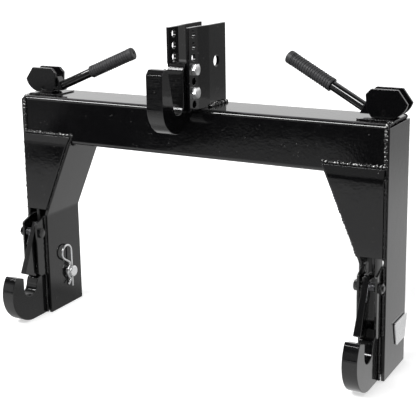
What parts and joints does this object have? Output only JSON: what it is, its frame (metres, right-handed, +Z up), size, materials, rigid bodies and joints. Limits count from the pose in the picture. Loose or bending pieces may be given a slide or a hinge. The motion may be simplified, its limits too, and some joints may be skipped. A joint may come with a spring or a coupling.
{
  "type": "three point quick hitch",
  "caption": "Welded steel quick hitch with open hooks, spring latches released by cam levers, and a mast with a height-adjustable top hook.",
  "frame": {"origin": "bottom centre of the bounding box, on the ground the legs stand on", "axes": "+X to the right seen from the implement, +Y towards the tractor, +Z up"},
  "size_m": [0.7614, 0.2074, 0.5725],
  "materials": {
    "black_paint": "gloss black paint",
    "zinc_plate": "bright zinc plate",
    "spring_steel": "dark spring steel",
    "grip_rubber": "matte ribbed rubber"
  },
  "bodies": {
    "frame": {"crossbeam": "black_paint", "mast_plate_left": "black_paint", "mast_plate_right": "black_paint", "top_hook": "black_paint", "top_hook_bolt_lower": "zinc_plate", "top_hook_bolt_upper": "zinc_plate", "top_hook_nut_lower": "zinc_plate", "top_hook_nut_upper": "zinc_plate", "left_outer_plate": "black_paint", "left_inner_plate": "black_paint", "left_gusset": "black_paint", "left_lower_hook": "black_paint", "left_latch_ear_inner": "black_paint", "left_latch_ear_outer": "black_paint", "left_latch_bolt": "black_paint", "left_latch_nut": "black_paint", "left_latch_spring": "spring_steel", "left_lever_pad": "black_paint", "right_outer_plate": "black_paint", "right_inner_plate": "black_paint", "right_gusset": "black_paint", "right_lower_hook": "black_paint", "right_latch_ear_inner": "black_paint", "right_latch_ear_outer": "black_paint", "right_latch_bolt": "black_paint", "right_latch_nut": "black_paint", "right_latch_spring": "spring_steel", "right_lever_pad": "black_paint"},
    "left_latch": {"left_latch": "black_paint"},
    "left_rod": {"left_release_rod": "black_paint"},
    "left_lever": {"left_cam_plate_front": "black_paint", "left_cam_plate_rear": "black_paint", "left_lever_hub": "black_paint", "left_lever_pin": "black_paint", "left_lever_shaft": "black_paint", "left_lever_grip": "grip_rubber"},
    "left_pin": {"left_link_pin": "zinc_plate", "left_link_pin_flag": "zinc_plate", "left_hairpin": "zinc_plate"},
    "right_latch": {"right_latch": "black_paint"},
    "right_rod": {"right_release_rod": "black_paint"},
    "right_lever": {"right_cam_plate_front": "black_paint", "right_cam_plate_rear": "black_paint", "right_lever_hub": "black_paint", "right_lever_pin": "black_paint", "right_lever_shaft": "black_paint", "right_lever_grip": "grip_rubber"},
    "right_pin": {"right_link_pin": "zinc_plate", "right_link_pin_flag": "zinc_plate", "right_hairpin": "zinc_plate"}
  },
  "joints": [
    {"name": "left_rod_lift", "type": "slide", "parent": "frame", "child": "left_rod", "axis": [0, 0, 1], "range_m": [0, 0.0102]},
    {"name": "left_lever_turn", "type": "hinge", "parent": "left_rod", "child": "left_lever", "pos_m": [-0.3415, 0.05425, 0.4416], "axis": [0, -1, 0], "range_deg": [0, 38]},
    {"name": "left_latch_swing", "type": "hinge", "parent": "frame", "child": "left_latch", "pos_m": [-0.337, -0.01475, 0.167], "axis": [1, 0, 0], "range_deg": [0, 25], "stiffness_Nm_per_rad": 1.5, "springref_deg": -22.92},
    {"name": "left_link_pin_turn", "type": "hinge", "parent": "frame", "child": "left_pin", "pos_m": [-0.3415, 0.06395, 0.0684], "axis": [1, 0, 0], "continuous": true},
    {"name": "right_rod_lift", "type": "slide", "parent": "frame", "child": "right_rod", "axis": [0, 0, 1], "range_m": [0, 0.0102]},
    {"name": "right_lever_turn", "type": "hinge", "parent": "right_rod", "child": "right_lever", "pos_m": [0.3415, 0.05425, 0.4416], "axis": [0, 1, 0], "range_deg": [0, 38]},
    {"name": "right_latch_swing", "type": "hinge", "parent": "frame", "child": "right_latch", "pos_m": [0.337, -0.01475, 0.167], "axis": [1, 0, 0], "range_deg": [0, 25], "stiffness_Nm_per_rad": 1.5, "springref_deg": -22.92},
    {"name": "right_link_pin_turn", "type": "hinge", "parent": "frame", "child": "right_pin", "pos_m": [0.3415, 0.06395, 0.0684], "axis": [1, 0, 0], "continuous": true}
  ],
  "couplings": [
    {"joint": "left_rod_lift", "follows": "left_lever_turn", "m_per_rad": 0.015379},
    {"joint": "left_latch_swing", "follows": "left_lever_turn", "ratio": 0.6578},
    {"joint": "right_rod_lift", "follows": "right_lever_turn", "m_per_rad": 0.015379},
    {"joint": "right_latch_swing", "follows": "right_lever_turn", "ratio": 0.6578}
  ]
}
